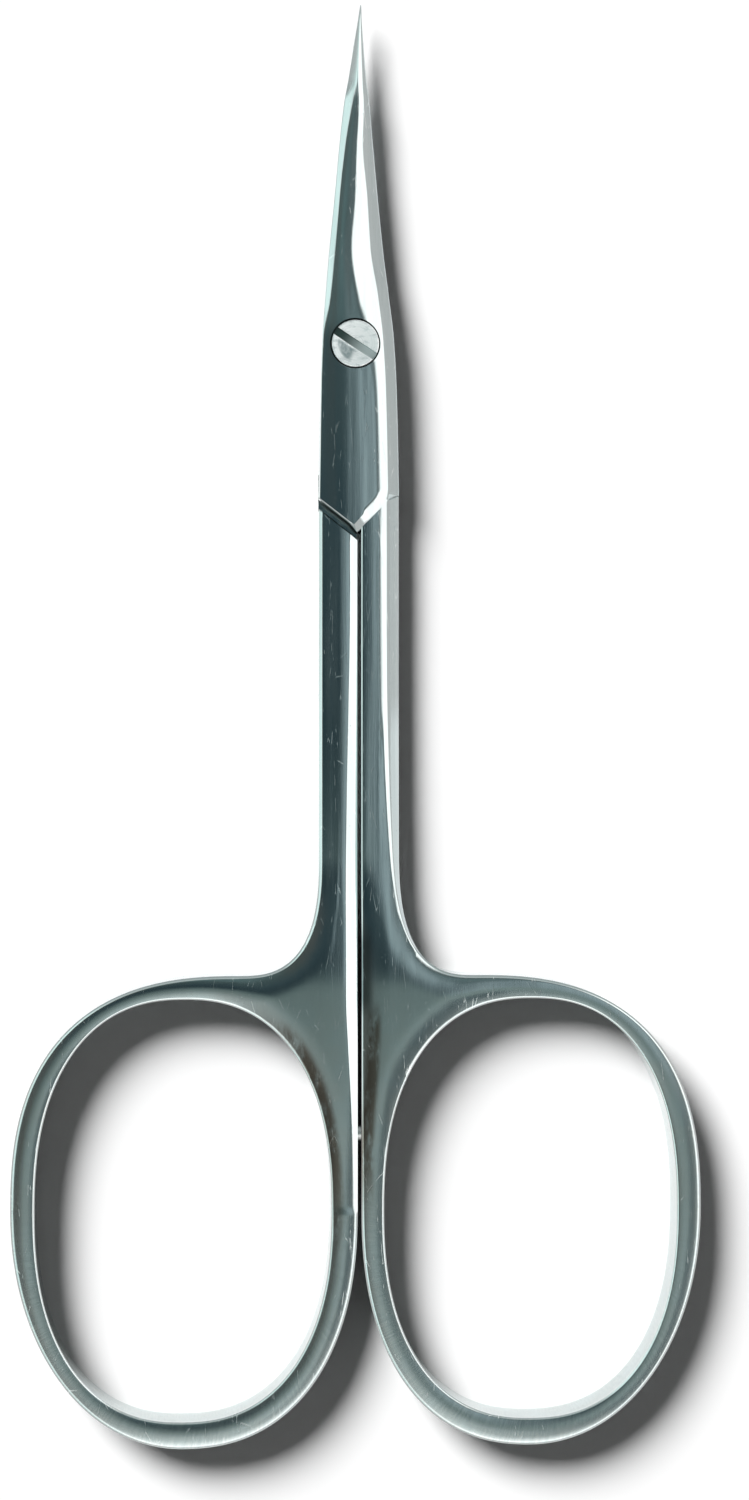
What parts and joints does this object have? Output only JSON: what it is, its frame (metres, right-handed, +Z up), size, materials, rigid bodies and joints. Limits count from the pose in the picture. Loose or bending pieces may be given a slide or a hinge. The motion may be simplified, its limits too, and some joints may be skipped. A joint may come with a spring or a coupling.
{
  "type": "cuticle scissors",
  "caption": "Small fine-pointed scissors for cuticles: two polished steel halves with oval finger bows, turning on a slotted pivot screw, closing on a small stop pin.",
  "frame": {"origin": "on the pivot axis, on the flat surface that the closed scissors lie on", "axes": "+Y from the pivot towards the blade tips, +Z up along the pivot axis towards the screw's slotted head, +X to the bow of the front half"},
  "size_m": [0.0429, 0.0897, 0.0032],
  "materials": {
    "polished_steel": "polished stainless steel with fine buffing marks",
    "screw_steel": "turned and lightly polished",
    "pin_steel": "plain drawn steel"
  },
  "bodies": {
    "rear": {"rear_half": "polished_steel", "pivot_screw": "screw_steel", "stop_pin": "pin_steel"},
    "front": {"front_half": "polished_steel"}
  },
  "joints": [
    {"name": "pivot", "type": "hinge", "parent": "rear", "child": "front", "pos_m": [0, 0, 0], "axis": [0, 0, 1], "range_deg": [0, 70]}
  ]
}
